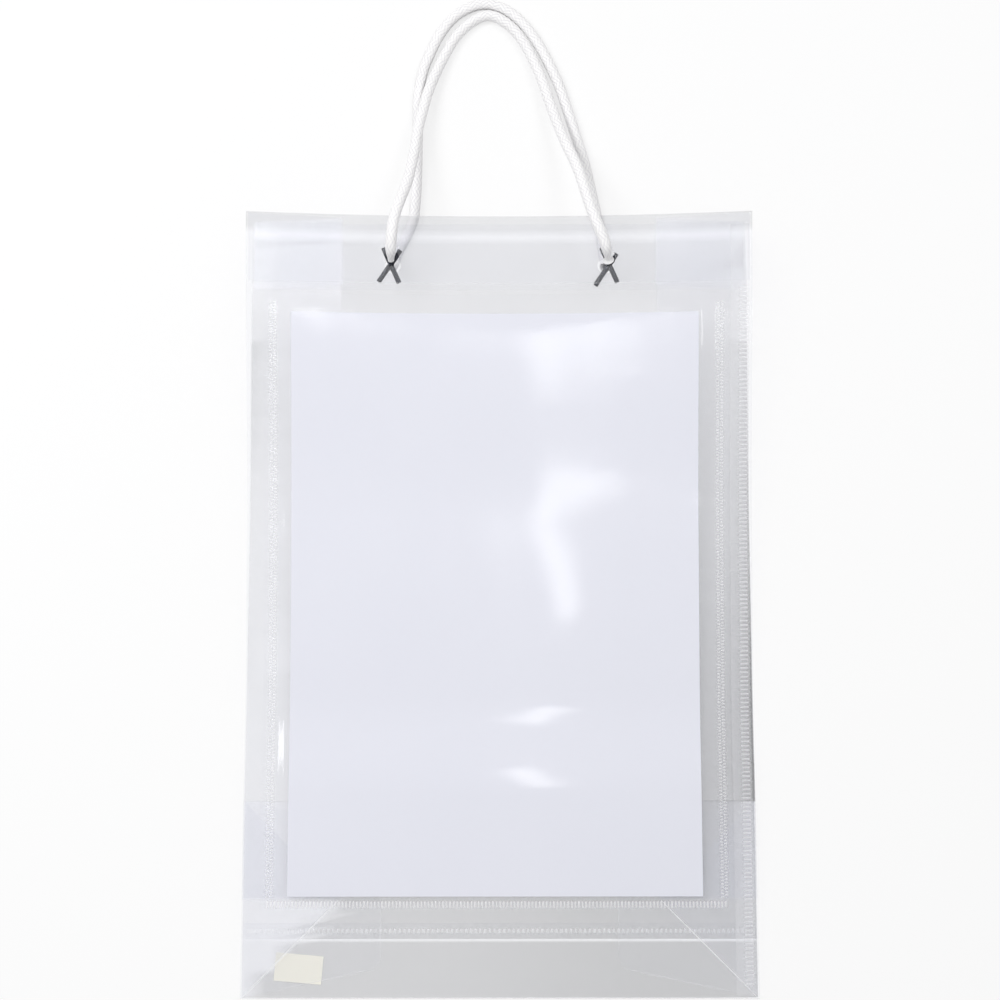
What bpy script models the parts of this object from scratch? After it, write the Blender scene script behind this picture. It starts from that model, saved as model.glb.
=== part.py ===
"""Translucent carrier bag with two cord handles and a front pocket, folded flat and lying on its back.

Metres, +Z up. X runs across the bag, +Y from its base to its mouth. The floor is z = 0 and the origin
lies under the middle of the bag without its handles. Everything below is measured from the middle of
the bag's base edge, and hangs from the empty bag_frame, which puts that edge in its place.

The body is one folded film: front and back panels, a gusset on each side folded inwards, a block bottom
folded up against the back, and a hem turned into the mouth. Every panel follows the same height
functions, every fold is a narrow strip between the two panels it joins, and all of them are merged into
one surface that is then given the film's thickness.
"""
import math

import bmesh
import bpy
from mathutils import Vector

# Bag
BAG_WIDTH = 0.260
BAG_HEIGHT = 0.398
GUSSET_DEPTH = 0.098
FILM = 0.0003
LAYER_PITCH = 0.0007
HEM_DEPTH = 0.035
HEM_PITCH = 0.0008
HEM_SIDE_INSET = 0.001
SEAT_GAP = 0.0003
MERGE = 0.000002

# Lie of the bag: the back panel sinks to the floor behind the base and lifts over the back handle
SETTLE_LENGTH = 0.052
LIFT_START = 0.240
MOUTH_LIFT = 0.010
MOUTH_GAP_MIDDLE = 0.0159
MOUTH_GAP_SIDES = 0.0259
GAP_POWER = 1.2
HEM_SIDE_FOLD = 0.0026
HEM_BLEND = 0.040

# Block bottom
FRONT_FLAP = 0.037
FLAP_OVERLAP = 0.008
WELD_WIDTH = 0.002
DUST_FLAP = 0.070
DUST_FLAP_TAPER = math.radians(12.0)
DUST_FLAP_ROUND = 0.006
ROUND_SEGMENTS = 4

# Handle holes
HOLE_SPACING = 0.112
HOLE_BELOW_MOUTH = 0.022
HOLE_DIAMETER = 0.0085
HOLE_SIDES = 24

# Pocket, insert sheet and label
SHEET_WIDTH = 0.210
SHEET_HEIGHT = 0.297
SHEET_THICKNESS = 0.0002
SHEET_ABOVE_FOOT = 0.0016
SHEET_OFF_POCKET_CENTRE = -0.0008
POCKET_ABOVE_BASE = 0.044
POCKET_OFF_CENTRE = -0.0015
POCKET_FILM = 0.0003
POCKET_RIM = 0.008
POCKET_SHOULDER = 0.003
POCKET_FOOT = 0.0048
POCKET_SIDE_ROOM = 0.0035
POCKET_ABOVE_SHEET = 0.0096
LABEL_WIDTH = 0.024
LABEL_HEIGHT = 0.014
LABEL_THICKNESS = 0.00015
LABEL_FROM_SIDE = 0.0285
LABEL_ABOVE_BASE = 0.0145
LABEL_TURN = math.radians(-5.0)

# Handles and toggles
CORD_DIAMETER = 0.006
CORD_TIP = 0.55
CORD_TAPER = 0.009
CORD_STEP = 0.006
CURVE_STEPS = 20
TOGGLE_LENGTH = 0.020
TOGGLE_DIAMETER = 0.0023
SOCKET_LENGTH = 0.0030
SOCKET_DIAMETER = 0.0030
TOGGLE_ROUND = 0.0003
TOGGLE_SIDES = 16
SOCKET_SIDES = 12
FRONT_TOGGLE_TURN = math.radians(24.0)
BACK_TOGGLE_TURN = math.radians(-34.0)

# Grid pitch of the film
STEP_ACROSS = 0.0217
STEP_ALONG = 0.0143

HALF_WIDTH = BAG_WIDTH / 2
GUSSET_HALF = GUSSET_DEPTH / 2
HEM_LINE = BAG_HEIGHT - HEM_DEPTH
HOLE_X = HOLE_SPACING / 2
HOLE_Y = BAG_HEIGHT - HOLE_BELOW_MOUTH
SHEET_ABOVE_BASE = POCKET_ABOVE_BASE + POCKET_FOOT + SHEET_ABOVE_FOOT
POCKET_TOP = SHEET_ABOVE_BASE + SHEET_HEIGHT + POCKET_ABOVE_SHEET
POCKET_WIDTH = SHEET_WIDTH + 2 * (POCKET_RIM + POCKET_SHOULDER + POCKET_SIDE_ROOM)

# Film levels over the base, from the floor up
FRONT_FLAP_LEVEL = FILM / 2
BACK_FLAP_LEVEL = FRONT_FLAP_LEVEL + FILM + SEAT_GAP
DUST_FLAP_LEVEL = BACK_FLAP_LEVEL + FILM + SEAT_GAP
LOWER_CORNER_LEVEL = DUST_FLAP_LEVEL + LAYER_PITCH
UPPER_CORNER_LEVEL = LOWER_CORNER_LEVEL + LAYER_PITCH
BACK_STRIP_LEVEL = UPPER_CORNER_LEVEL + LAYER_PITCH
BACK_LEVEL = BACK_STRIP_LEVEL + LAYER_PITCH
FLAT_GAP = 3 * LAYER_PITCH
CORNER_LEVELS = (DUST_FLAP_LEVEL, LOWER_CORNER_LEVEL, UPPER_CORNER_LEVEL, BACK_STRIP_LEVEL, BACK_LEVEL,
                 BACK_LEVEL + LAYER_PITCH, BACK_LEVEL + FLAT_GAP - LAYER_PITCH)

# Routes of the handles, from the left toggle over the mouth and back: chosen by hand in millimetres
FRONT_ROUTE = (
    (-56.0, 374.9, 26.8), (-56.0, 376.0, 28.3), (-55.9, 378.8, 31.9), (-55.7, 382.6, 34.4),
    (-55.2, 388.0, 35.5), (-54.5, 393.5, 35.0), (-53.4, 399.0, 33.7), (-51.4, 406.0, 31.2),
    (-47.6, 419.0, 25.0), (-45.2, 434.0, 18.0), (-43.0, 450.7, 12.6), (-40.6, 462.0, 9.8),
    (-38.0, 472.6, 7.5), (-34.0, 484.0, 5.3), (-28.9, 495.4, 3.9), (-22.0, 507.0, 3.2),
    (-12.3, 515.4, 3.1), (-3.5, 517.2, 3.1), (5.8, 511.6, 3.1), (12.3, 503.6, 3.2),
    (18.0, 493.0, 3.9), (22.4, 482.0, 5.4), (26.4, 469.0, 8.0), (30.2, 456.5, 11.2),
    (34.4, 444.0, 15.0), (40.7, 427.0, 22.6), (44.3, 413.2, 29.0), (47.4, 401.5, 33.2),
    (50.0, 393.8, 35.1), (52.6, 387.2, 35.4), (54.6, 382.0, 34.3), (55.5, 378.8, 32.1),
    (56.2, 376.0, 28.5), (56.6, 374.9, 26.9))
BACK_ROUTE = (
    (-56.8, 373.6, 18.0), (-56.5, 373.9, 15.0), (-56.1, 374.9, 12.2), (-56.0, 376.0, 10.0),
    (-55.4, 378.4, 6.9), (-54.2, 382.2, 4.4), (-52.2, 387.2, 3.3), (-48.6, 394.0, 3.1),
    (-45.6, 403.0, 3.1), (-44.2, 420.0, 3.1), (-43.8, 437.0, 3.1), (-43.6, 454.0, 3.1),
    (-43.4, 471.0, 3.1), (-41.2, 485.0, 3.1), (-37.3, 495.6, 3.1), (-32.0, 506.6, 3.1),
    (-24.6, 516.2, 3.1), (-15.2, 522.2, 3.1), (-5.6, 523.8, 3.1), (4.2, 520.4, 3.1),
    (13.4, 512.4, 3.1), (21.0, 501.6, 3.1), (27.0, 490.0, 3.1), (32.0, 478.6, 3.1),
    (35.8, 467.2, 3.1), (40.9, 450.5, 3.1), (45.8, 433.9, 3.1), (49.4, 417.3, 3.1),
    (52.2, 404.0, 3.1), (53.8, 394.0, 3.1), (54.8, 387.0, 3.4), (55.5, 382.2, 4.6),
    (55.9, 378.6, 6.9), (56.0, 376.0, 10.0), (56.0, 374.9, 11.5))


def smooth(value):
    value = min(1.0, max(0.0, value))
    return value * value * (3.0 - 2.0 * value)


def back_height(y):
    """Middle of the back panel's film."""
    if y <= GUSSET_DEPTH:
        return BACK_LEVEL
    floor = FRONT_FLAP_LEVEL
    settled = BACK_LEVEL + (floor - BACK_LEVEL) * smooth((y - GUSSET_DEPTH) / SETTLE_LENGTH)
    return settled + (MOUTH_LIFT - floor) * smooth((y - LIFT_START) / (HOLE_Y - LIFT_START))


def front_height(x, y):
    """Middle of the front panel's film, highest at the side edges of the mouth."""
    opening = max(0.0, (y - GUSSET_DEPTH) / (BAG_HEIGHT - GUSSET_DEPTH)) ** GAP_POWER
    sides = (x / HALF_WIDTH) ** 2
    spread = MOUTH_GAP_MIDDLE + (MOUTH_GAP_SIDES - MOUTH_GAP_MIDDLE) * sides
    return back_height(y) + FLAT_GAP + opening * spread


def back_surface(x, y):
    return back_height(y)


def side_fold(y):
    """Height of the folded edge between a panel and its gusset."""
    near_hem = smooth((y - HEM_LINE + HEM_BLEND) / HEM_BLEND)
    return LAYER_PITCH + (HEM_SIDE_FOLD - LAYER_PITCH) * near_hem


def gusset_point(share, y, front_half, lining=0.0):
    """A point of a gusset: share 0 is its folded edge at the side and 1 its centre fold."""
    top = front_height(HALF_WIDTH, y) - side_fold(y)
    bottom = back_height(y) + side_fold(y)
    middle = (top + bottom) / 2
    slope = (top - bottom - LAYER_PITCH) / 2
    reach = math.sqrt(GUSSET_HALF ** 2 - slope ** 2)
    inset = lining / HEM_PITCH * HEM_SIDE_INSET
    outer = HALF_WIDTH - inset
    inner = HALF_WIDTH - reach - lining
    side = 1.0 if front_half else -1.0
    edge = top + lining if front_half else bottom - lining
    fold = middle + side * (LAYER_PITCH / 2 + lining / 2)
    return outer + (inner - outer) * share, edge + (fold - edge) * share


def lines(start, end, pitch):
    """Evenly spaced grid lines no further apart than pitch."""
    count = max(1, math.ceil((end - start) / pitch - 1e-6))
    return [start + (end - start) * i / count for i in range(count + 1)]


def move_to(obj, collection):
    """Keep the object in one collection, measured from the bag's frame."""
    for owner in list(obj.users_collection):
        owner.objects.unlink(obj)
    collection.objects.link(obj)
    obj.parent = bag_frame


def make_cutter(obj, name):
    obj.name = name
    obj.hide_render = True
    obj.display_type = "WIRE"
    move_to(obj, cutters)


def grid(across, along, place, cuts=()):
    """A grid on the given lines, cut by planes while flat, then carried to place(u, v)."""
    mesh = bmesh.new()
    bmesh.ops.create_grid(mesh, x_segments=len(across) - 1, y_segments=len(along) - 1, size=1.0)
    for vert in mesh.verts:
        i = round((vert.co.x + 1) / 2 * (len(across) - 1))
        j = round((vert.co.y + 1) / 2 * (len(along) - 1))
        vert.co = (across[i], along[j], 0)
    for point, normal in cuts:
        everything = mesh.verts[:] + mesh.edges[:] + mesh.faces[:]
        bmesh.ops.bisect_plane(mesh, geom=everything, plane_co=(*point, 0), plane_no=(*normal, 0),
                               clear_outer=True)
    for vert in mesh.verts:
        vert.co = place(vert.co.x, vert.co.y)
    return mesh


def sheet_object(name, mesh, thickness):
    """An open surface given its thickness evenly to both sides."""
    data = bpy.data.meshes.new(name)
    mesh.to_mesh(data)
    mesh.free()
    obj = bpy.data.objects.new(name, data)
    move_to(obj, parts)
    solid = obj.modifiers.new("thickness", "SOLIDIFY")
    solid.thickness = thickness
    solid.offset = 0.0
    solid.use_even_offset = True
    return obj


def fold(ribs):
    """The wall of film between the panels it joins, from ribs that cross the fold at matching levels."""
    return grid(range(len(ribs)), range(len(ribs[0])), lambda u, v: ribs[round(u)][round(v)])


def finish(obj, name, colour, roughness, alpha=1.0):
    """Give the object its own material."""
    skin = bpy.data.materials.new(name)
    skin.use_nodes = True
    shader = skin.node_tree.nodes["Principled BSDF"]
    shader.inputs["Base Color"].default_value = (*colour, 1.0)
    shader.inputs["Roughness"].default_value = roughness
    shader.inputs["Alpha"].default_value = alpha
    obj.data.materials.append(skin)


def boolean(obj, name, operation, operand):
    cut = obj.modifiers.new(name, "BOOLEAN")
    cut.operation = operation
    cut.object = operand


def long_panels():
    """Front panel from the base to the mouth, and the back panel from its fold over the base."""
    def back(x, y):
        y = fold_line(x) if y < UPPER_ROWS[0] + LAYER_PITCH / 2 else y
        return x, y, back_height(y)
    yield grid(ACROSS, ROWS, lambda x, y: (x, y, front_height(x, y)))
    yield grid(BACK_ACROSS, UPPER_ROWS, back)


def fold_line(x):
    """The crease over the base: it clears the corner's crease, and both meet at the side edges."""
    return GUSSET_HALF + min(LAYER_PITCH, HALF_WIDTH - abs(x))


def block_bottom():
    """The two long flaps, the strip of the back panel folded down, and the folds between them."""
    flap_end = FRONT_FLAP - FLAP_OVERLAP
    yield grid(ACROSS, [0, FRONT_FLAP], lambda x, y: (x, y, FRONT_FLAP_LEVEL))
    yield grid(BACK_ACROSS, [flap_end, GUSSET_DEPTH], lambda x, y: (x, y, BACK_FLAP_LEVEL))
    yield grid(BACK_ACROSS, [GUSSET_HALF, GUSSET_DEPTH],
               lambda x, y: (x, max(y, fold_line(x)), BACK_STRIP_LEVEL))
    front_levels = [FRONT_FLAP_LEVEL, *CORNER_LEVELS, front_height(0, 0)]
    back_levels = [BACK_FLAP_LEVEL, *CORNER_LEVELS[:4]]
    yield fold([[(x, 0, z) for z in front_levels] for x in ACROSS])
    yield fold([[(x, GUSSET_DEPTH, z) for z in back_levels] for x in BACK_ACROSS])
    yield fold([[(x, fold_line(x), z) for z in (BACK_STRIP_LEVEL, BACK_LEVEL)] for x in BACK_ACROSS])


def dust_flap(side):
    """The gusset's own flap, tapered at both edges and rounded at its inner corners."""
    run = DUST_FLAP * math.tan(DUST_FLAP_TAPER)

    def place(inward, y):
        inset = run * inward / DUST_FLAP * (1 - y / GUSSET_HALF)
        return side * (HALF_WIDTH - inward), y + inset, DUST_FLAP_LEVEL
    flap = grid([0, DUST_FLAP], [0, GUSSET_HALF, GUSSET_DEPTH], place)
    corners = [vert for vert in flap.verts if len(vert.link_faces) == 1 and
               abs(vert.co.x) < HALF_WIDTH - DUST_FLAP / 2]
    bmesh.ops.bevel(flap, geom=corners, offset=DUST_FLAP_ROUND, segments=ROUND_SEGMENTS,
                    profile=0.5, affect="VERTICES")
    return flap


def side_gusset(side):
    """A gusset, the corner it folds into at the base, its dust flap and all folds between them."""
    apex = HALF_WIDTH - GUSSET_HALF
    low_edge = ((HALF_WIDTH, 0), (-1, -1))
    high_edge = ((HALF_WIDTH, GUSSET_DEPTH), (-1, 1))
    corner, tip, top = (HALF_WIDTH, 0), (apex, GUSSET_HALF), (HALF_WIDTH, GUSSET_DEPTH)
    middle = (HALF_WIDTH, GUSSET_HALF)

    def flat(level):
        return lambda x, y: (side * x, y, level)

    def gusset(front_half):
        def place(inward, y):
            x, z = gusset_point(inward / GUSSET_HALF, y, front_half)
            return side * x, y, z
        return place

    def wall(points, levels):
        return fold([[(side * x, y, z) for z in levels] for x, y in points])
    front, back = gusset(True), gusset(False)
    yield dust_flap(side)
    yield grid([apex, HALF_WIDTH], BASE_ROWS, flat(LOWER_CORNER_LEVEL), (low_edge, high_edge))
    yield grid([apex, HALF_WIDTH], BASE_ROWS[1:], flat(UPPER_CORNER_LEVEL), (high_edge,))
    yield grid([0, GUSSET_HALF], ROWS, front, (((0, 0), (1, -1)),))
    yield grid([0, GUSSET_HALF], UPPER_ROWS, back)
    yield wall([corner, middle, top], CORNER_LEVELS[:2])
    yield wall([corner, tip], CORNER_LEVELS[1:])
    yield wall([tip, top], CORNER_LEVELS[1:3])
    yield wall([tip, middle], CORNER_LEVELS[2:6])
    yield wall([middle, top], CORNER_LEVELS[2:4])
    yield fold([[front(0, y), (side * HALF_WIDTH, y, front_height(HALF_WIDTH, y))] for y in ROWS])
    yield fold([[(side * HALF_WIDTH, y, back_height(y)), back(0, y)] for y in UPPER_ROWS])
    yield fold([[back(GUSSET_HALF, y), front(GUSSET_HALF, y)] for y in UPPER_ROWS])


def hem():
    """The mouth's edge turned in: a lining inside every panel, closed to it along the mouth."""
    narrow = (HALF_WIDTH - HEM_SIDE_INSET) / HALF_WIDTH
    rows = lines(HEM_LINE, BAG_HEIGHT, STEP_ALONG)
    for across, height, offset in ((ACROSS, front_height, -HEM_PITCH),
                                   (BACK_ACROSS, back_surface, HEM_PITCH)):
        def lining(x, y):
            return x * narrow, y, height(x * narrow, y) + offset
        yield grid(across, rows, lining)
        yield fold([[(x, BAG_HEIGHT, height(x, BAG_HEIGHT)), lining(x, BAG_HEIGHT)] for x in across])
    for side in (-1, 1):
        yield from gusset_hem(side, rows)


def gusset_hem(side, rows):
    def ring(y, depth):
        """Half of the mouth's outline, from the front panel's edge round the gusset to the back's."""
        edge = HALF_WIDTH - HEM_SIDE_INSET * depth / HEM_PITCH
        points = [(edge, front_height(edge, y) - depth)]
        points += [gusset_point(share, y, front_half, depth)
                   for share, front_half in ((0, True), (1, True), (1, False), (0, False))]
        points.append((edge, back_height(y) + depth))
        return [(side * x, y, z) for x, z in points]
    yield fold([ring(y, HEM_PITCH) for y in rows])
    yield fold([ring(BAG_HEIGHT, 0.0), ring(BAG_HEIGHT, HEM_PITCH)])


def bag_body():
    """All panels, flaps and folds merged into one surface, which then gets the film's thickness."""
    pieces = [*long_panels(), *block_bottom(), *side_gusset(-1), *side_gusset(1), *hem()]
    whole = bmesh.new()
    for piece in pieces:
        data = bpy.data.meshes.new("film_piece")
        piece.to_mesh(data)
        piece.free()
        whole.from_mesh(data)
        bpy.data.meshes.remove(data)
    bmesh.ops.remove_doubles(whole, verts=whole.verts, dist=MERGE)
    bmesh.ops.recalc_face_normals(whole, faces=whole.faces)
    return sheet_object("bag_body", whole, FILM)


def weld_flaps(body):
    """The weld that closes the base, between the two long flaps."""
    height = BACK_FLAP_LEVEL - FRONT_FLAP_LEVEL
    middle = FRONT_FLAP - FLAP_OVERLAP / 2
    bpy.ops.mesh.primitive_cube_add(size=1, location=(0, middle, FRONT_FLAP_LEVEL + height / 2))
    weld = bpy.context.object
    weld.scale = (BAG_WIDTH - 2 * WELD_WIDTH, WELD_WIDTH, height)
    make_cutter(weld, "flap_weld")
    boolean(body, "flap_weld", "UNION", weld)


def punch_holes(body):
    """One hole on each side, through both panels and their hems."""
    reach = front_height(HOLE_X, HOLE_Y) + HOLE_DIAMETER
    for side in (-1, 1):
        bpy.ops.mesh.primitive_cylinder_add(vertices=HOLE_SIDES, radius=HOLE_DIAMETER / 2,
                                            depth=2 * reach, location=(side * HOLE_X, HOLE_Y, 0))
        cutter = bpy.context.object
        make_cutter(cutter, "hole_cutter")
        boolean(body, "hole", "DIFFERENCE", cutter)


def pocket():
    """The clear pocket on the front: its rim is welded down and its field stands off for the sheet."""
    left = POCKET_OFF_CENTRE - POCKET_WIDTH / 2
    right = left + POCKET_WIDTH
    low = POCKET_ABOVE_BASE
    rim = FILM / 2 + SEAT_GAP + POCKET_FILM / 2
    field = rim + SHEET_THICKNESS + SEAT_GAP
    inner = POCKET_RIM + POCKET_SHOULDER
    across = [left, left + POCKET_RIM, *lines(left + inner, right - inner, STEP_ACROSS),
              right - POCKET_RIM, right]
    along = [low, low + POCKET_FOOT, *lines(SHEET_ABOVE_BASE - SEAT_GAP, POCKET_TOP, STEP_ALONG)]

    def place(x, y):
        from_side = min(x - left, right - x)
        across_share = smooth((from_side - POCKET_RIM) / POCKET_SHOULDER)
        share = across_share if y > low + POCKET_FOOT + MERGE else 0.0
        return x, y, front_height(x, y) + rim + (field - rim) * share
    obj = sheet_object("pocket_window", grid(across, along, place), POCKET_FILM)
    finish(obj, "clear_film", (0.88, 0.89, 0.92), 0.08, alpha=0.35)


def insert_sheet():
    left = POCKET_OFF_CENTRE + SHEET_OFF_POCKET_CENTRE - SHEET_WIDTH / 2
    lift = FILM / 2 + SEAT_GAP + SHEET_THICKNESS / 2
    across = lines(left, left + SHEET_WIDTH, STEP_ACROSS)
    along = lines(SHEET_ABOVE_BASE, SHEET_ABOVE_BASE + SHEET_HEIGHT, STEP_ALONG)
    mesh = grid(across, along, lambda x, y: (x, y, front_height(x, y) + lift))
    obj = sheet_object("insert_sheet", mesh, SHEET_THICKNESS)
    finish(obj, "plain_paper", (0.86, 0.86, 0.90), 0.7)


def base_label():
    """The small label inside the base, on the front flap."""
    height = FRONT_FLAP_LEVEL + FILM / 2 + SEAT_GAP + LABEL_THICKNESS / 2
    bpy.ops.mesh.primitive_cube_add(
        size=1, location=(LABEL_FROM_SIDE - HALF_WIDTH, LABEL_ABOVE_BASE, height))
    obj = bpy.context.object
    obj.name = "base_label"
    obj.scale = (LABEL_WIDTH, LABEL_HEIGHT, LABEL_THICKNESS)
    obj.rotation_euler.z = LABEL_TURN
    move_to(obj, parts)
    finish(obj, "cream_label", (0.82, 0.81, 0.75), 0.6)


def curve_through(route):
    """A dense smooth curve through the route's points, with the length reached at each of its points."""
    nodes = [Vector(point) / 1000 for point in route]
    padded = [2 * nodes[0] - nodes[1]] + nodes + [2 * nodes[-1] - nodes[-2]]
    dense = []
    for a, b, c, d in zip(padded, padded[1:], padded[2:], padded[3:]):
        for i in range(CURVE_STEPS):
            t = i / CURVE_STEPS
            bend = (2 * a - 5 * b + 4 * c - d) * t * t + (3 * b - a - 3 * c + d) * t ** 3
            dense.append((2 * b + (c - a) * t + bend) / 2)
    dense.append(nodes[-1])
    reach = [0.0]
    for a, b in zip(dense, dense[1:]):
        reach.append(reach[-1] + (b - a).length)
    return dense, reach


def handle_cord(name, route):
    """A cord along its route, thinner towards both ends where it is crimped into its toggles."""
    dense, reach = curve_through(route)
    total = reach[-1]
    curve = bpy.data.curves.new(name, "CURVE")
    curve.dimensions = "3D"
    curve.bevel_depth = CORD_DIAMETER / 2
    curve.bevel_resolution = 2
    curve.use_fill_caps = True
    count = round(total / CORD_STEP)
    spline = curve.splines.new("POLY")
    spline.points.add(count)
    k = 0
    for i, point in enumerate(spline.points):
        along = total * i / count
        while k < len(reach) - 2 and reach[k + 1] < along:
            k += 1
        share = (along - reach[k]) / (reach[k + 1] - reach[k])
        point.co = (*dense[k].lerp(dense[k + 1], share), 1)
        point.radius = CORD_TIP + (1 - CORD_TIP) * smooth(min(along, total - along) / CORD_TAPER)
    obj = bpy.data.objects.new(name, curve)
    move_to(obj, parts)
    finish(obj, "white_cord", (0.90, 0.89, 0.87), 0.8)


def toggle(name, route_end, before_end, turn, height):
    """A bar across the cord's end, inside the bag, with the socket that holds the cord."""
    end = Vector(route_end) / 1000
    direction = (end - Vector(before_end) / 1000).normalized()
    start = end + direction * SEAT_GAP
    centre = start + direction * SOCKET_LENGTH
    bpy.ops.mesh.primitive_cylinder_add(vertices=SOCKET_SIDES, radius=SOCKET_DIAMETER / 2,
                                        depth=SOCKET_LENGTH, location=(start + centre) / 2)
    socket = bpy.context.object
    socket.rotation_euler = direction.to_track_quat("Z", "Y").to_euler()
    make_cutter(socket, name + "_socket")
    run = Vector((math.sin(turn), -math.cos(turn), 0)) * TOGGLE_LENGTH / 2
    rise = height(centre.x + run.x, centre.y + run.y) - height(centre.x - run.x, centre.y - run.y)
    axis = Vector((run.x, run.y, rise / 2))
    bpy.ops.mesh.primitive_cylinder_add(vertices=TOGGLE_SIDES, radius=TOGGLE_DIAMETER / 2,
                                        depth=TOGGLE_LENGTH, location=centre)
    bar = bpy.context.object
    bar.rotation_euler = axis.to_track_quat("Z", "Y").to_euler()
    bar.name = name
    move_to(bar, parts)
    round_ends = bar.modifiers.new("round_ends", "BEVEL")
    round_ends.width = TOGGLE_ROUND
    round_ends.segments = 2
    round_ends.limit_method = "ANGLE"
    boolean(bar, "socket", "UNION", socket)
    finish(bar, "grey_toggle", (0.03, 0.03, 0.035), 0.4)


def build():
    body = bag_body()
    weld_flaps(body)
    punch_holes(body)
    finish(body, "milky_film", (0.80, 0.81, 0.84), 0.25, alpha=0.5)
    pocket()
    insert_sheet()
    base_label()
    handle_cord("front_handle_cord", FRONT_ROUTE)
    handle_cord("back_handle_cord", BACK_ROUTE)
    for name, route, turn, height in (
            ("front_left_toggle", FRONT_ROUTE, FRONT_TOGGLE_TURN, front_height),
            ("front_right_toggle", FRONT_ROUTE[::-1], FRONT_TOGGLE_TURN, front_height),
            ("back_left_toggle", BACK_ROUTE, BACK_TOGGLE_TURN, front_height),
            ("back_right_toggle", BACK_ROUTE[::-1], BACK_TOGGLE_TURN, back_surface)):
        toggle(name, route[0], route[1], turn, height)


for leftover in list(bpy.data.objects):
    bpy.data.objects.remove(leftover)
parts = bpy.data.collections.new("carrier_bag")
cutters = bpy.data.collections.new("cutters")
for group in (parts, cutters):
    bpy.context.scene.collection.children.link(group)
bag_frame = bpy.data.objects.new("bag_frame", None)
bag_frame.location.y = -BAG_HEIGHT / 2
parts.objects.link(bag_frame)

# Grid lines shared by the pieces of film, so that their edges meet point for point
ACROSS = lines(-HALF_WIDTH, HALF_WIDTH, STEP_ACROSS)
BACK_ACROSS = [-HALF_WIDTH, LAYER_PITCH - HALF_WIDTH, HALF_WIDTH - LAYER_PITCH, HALF_WIDTH]
BASE_ROWS = [0, GUSSET_HALF, GUSSET_DEPTH]
ROWS = BASE_ROWS + lines(GUSSET_DEPTH, BAG_HEIGHT, STEP_ALONG)[1:]
UPPER_ROWS = ROWS[1:]
build()
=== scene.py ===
"""Looks of a translucent carrier bag with two cord handles and a front pocket, lying on its back.

Metres, +Z up. Places on the bag are measured from the middle of its base edge, which lies at BASE_Y.
"""
import math

import bmesh
import bpy
from mathutils import Matrix, Vector, noise
from mathutils.bvhtree import BVHTree


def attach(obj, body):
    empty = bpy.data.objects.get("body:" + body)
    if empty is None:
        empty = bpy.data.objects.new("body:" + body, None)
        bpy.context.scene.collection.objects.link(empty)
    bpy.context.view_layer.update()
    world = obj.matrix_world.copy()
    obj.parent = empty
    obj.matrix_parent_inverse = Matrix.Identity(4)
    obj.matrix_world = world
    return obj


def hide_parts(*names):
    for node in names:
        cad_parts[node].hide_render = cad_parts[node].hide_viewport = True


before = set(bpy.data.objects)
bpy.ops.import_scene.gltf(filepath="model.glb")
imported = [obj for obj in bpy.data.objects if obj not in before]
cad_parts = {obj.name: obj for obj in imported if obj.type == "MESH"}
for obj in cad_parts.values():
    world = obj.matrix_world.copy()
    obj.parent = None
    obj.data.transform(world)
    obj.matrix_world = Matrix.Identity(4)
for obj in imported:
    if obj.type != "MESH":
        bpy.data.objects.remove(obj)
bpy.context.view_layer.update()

# Bag
BAG_WIDTH = 0.260
BAG_HEIGHT = 0.398
BASE_Y = -BAG_HEIGHT / 2
HALF_WIDTH = BAG_WIDTH / 2
GUSSET_DEPTH = 0.098
GUSSET_HALF = GUSSET_DEPTH / 2
FILM = 0.0003
LAYER_PITCH = 0.0007
SEAT_GAP = 0.0003
HOLE_Y = BAG_HEIGHT - 0.022

# Lie of the film
BACK_LEVEL = 0.00415
FLOOR_LEVEL = FILM / 2
FLAT_GAP = 3 * LAYER_PITCH
SETTLE_LENGTH = 0.052
LIFT_START = 0.240
MOUTH_LIFT = 0.010
MOUTH_GAP_MIDDLE = 0.0159
MOUTH_GAP_SIDES = 0.0259
GAP_POWER = 1.2

# Slow waves of the front film with finer ones on them, and how they fade out at the base and the mouth
WAVE_HEIGHT = 0.0007
WAVE_ACROSS = 0.075
WAVE_ALONG = 0.190
WAVE_SLICE = 0.37
FINE_ACROSS = 2.7
FINE_ALONG = 2.1
FINE_SLICE = 4.1
FINE_SHARE = 0.20
WAVE_START = 0.075
WAVE_FADE = 0.120

# Where film counts as the lowest: on the base flaps, which are cut finer, and at the mouth and sides
FRONT_FLAP_TOP = 0.0004
BACK_FLAP_START = 0.0284
BACK_FLAP_TOP = 0.0011
TOP_STRIP = 0.0075
EDGE_STRIP = 0.0012
FLAP_CUTS = 4

# Painted shade of the ground seen through the lowest film, lighter at the upper left and greyer to the
# lower right, and where it changes: across in half widths, along in heights
PAINTED_SHADE_TOP = 0.75
PAINTED_SHADE_LEFT = 0.92
PAINTED_SHADE_MIDDLE = 0.49
PAINTED_SHADE_FOOT = 0.40
# How deep the paper's painted shadow is on the film to its right
PAPER_SHADOW_DEPTH = 0.17
LEFT_START = 0.55
LEFT_BLEND = 0.32
# Where the paper's painted shadow starts across, to its right
RIGHT_START = 0.50
RIGHT_BLEND = 0.35
MIDDLE_START = 0.6
TOP_START = 0.25
TOP_BLEND = 0.70
# Where the paper's painted shadow rises, ends and falls off, along in heights
SHADE_RISE = 0.35
SHADE_END = 1.15
SHADE_FALL = 0.75

# How softly the painted shade turns at the base's left diagonal fold, and the row of points below its
# upper fold
FOLD_BLUR = 0.004
FOLD_ROW = 0.0004

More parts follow.
